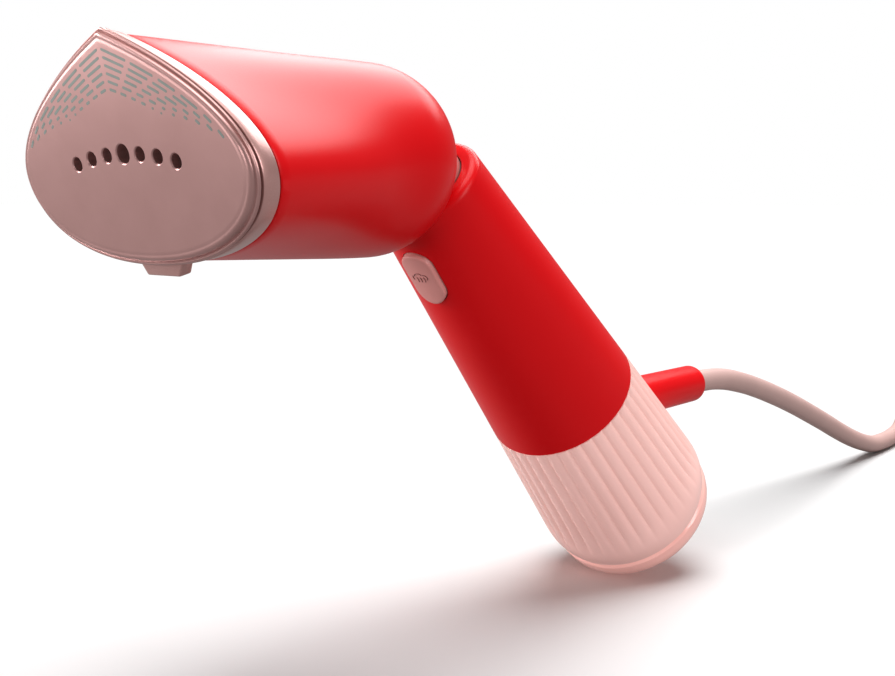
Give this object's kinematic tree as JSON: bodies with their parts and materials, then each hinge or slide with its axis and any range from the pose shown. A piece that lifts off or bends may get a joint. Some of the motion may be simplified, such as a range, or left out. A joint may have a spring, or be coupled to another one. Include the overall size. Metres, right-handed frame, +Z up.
{
  "type": "garment steamer",
  "caption": "Folding hand-held garment steamer with a pointed oval steam plate, round rear dome, conical grip with trigger, slide-off clear tank and coiled mains cord.",
  "frame": {"origin": "middle of the grip, on the handle's axis", "axes": "+Z up as the steamer is held, steam plate facing -Y, tank and cord towards +Y, x = 0 the plane of symmetry"},
  "size_m": [0.1356, 0.6645, 0.1742],
  "materials": {
    "red_plastic": "bright red moulded ABS, satin gloss",
    "rose_plastic": "rose-gold metallic lacquer on plastic, satin",
    "plate_coating": "rose metallic ceramic coating on aluminium, satin",
    "clear_rose_plastic": "translucent rose-tinted plastic, glossy",
    "steel": "stainless steel, satin",
    "cast_aluminium": "as cast",
    "brass": "turned brass",
    "black_plastic": "black moulded plastic and rubber, matt",
    "silicone": "translucent silicone rubber, matt",
    "nylon": "natural moulded nylon",
    "circuit_board": "green solder mask on glass-epoxy board",
    "cord_cover": "rose-grey PVC, matt"
  },
  "bodies": {
    "handle": {"handle_shell": "red_plastic", "hinge_knuckle": "rose_plastic", "control_board": "circuit_board", "micro_switch": "black_plastic", "relay": "black_plastic", "capacitor": "steel", "inner_frame": "nylon", "pump_body": "nylon", "pump_coil": "black_plastic", "pump_cradle": "silicone", "tank_socket": "nylon", "socket_seal": "silicone", "inlet_tube": "silicone", "outlet_hose": "silicone", "terminal_block": "nylon", "lead_live": "black_plastic", "lead_neutral": "black_plastic", "cord_guard": "red_plastic", "cord": "cord_cover", "cord_coil": "cord_cover", "cord_tail": "cord_cover", "plug_body": "cord_cover", "plug_pin_1": "brass", "plug_pin_2": "brass"},
    "head": {"head_shell": "red_plastic", "steam_plate": "plate_coating", "bezel_ring": "rose_plastic", "plate_gasket": "silicone", "heater_block": "cast_aluminium", "steam_diffuser": "steel", "heater_screw_1": "steel", "heater_screw_2": "steel", "heater_screw_3": "steel", "heater_screw_4": "steel", "heating_element": "steel", "thermostat": "steel", "thermal_fuse": "silicone", "heat_shield": "nylon", "hinge_carrier": "nylon", "bush_right": "brass", "bush_left": "brass", "hinge_pin": "steel", "pin_clip": "steel", "detent_plunger": "steel", "detent_spring": "steel", "water_hose": "silicone", "heater_lead_live": "black_plastic", "heater_lead_neutral": "black_plastic"},
    "trigger": {"trigger_button": "rose_plastic", "button_spring": "steel"},
    "tank": {"tank_body": "clear_rose_plastic", "tank_end_cap": "clear_rose_plastic", "tank_valve": "nylon", "pickup_tube": "silicone", "pickup_filter": "steel"},
    "fill_plug": {"fill_plug": "black_plastic"}
  },
  "joints": [
    {"name": "head_fold", "type": "hinge", "parent": "handle", "child": "head", "pos_m": [0, -0.06195, 0.04104], "axis": [-1, 0, 0], "range_deg": [0, 45]},
    {"name": "trigger_press", "type": "slide", "parent": "handle", "child": "trigger", "axis": [0, 0.7034, 0.7108], "range_m": [0, 0.0015], "stiffness_N_per_m": 1500},
    {"name": "tank_release", "type": "slide", "parent": "handle", "child": "tank", "axis": [0, 0.7108, -0.7034], "range_m": [0, 0.075]},
    {"name": "fill_plug_pull", "type": "slide", "parent": "tank", "child": "fill_plug", "axis": [0, -0.7108, 0.7034], "range_m": [0, 0.007]}
  ]
}
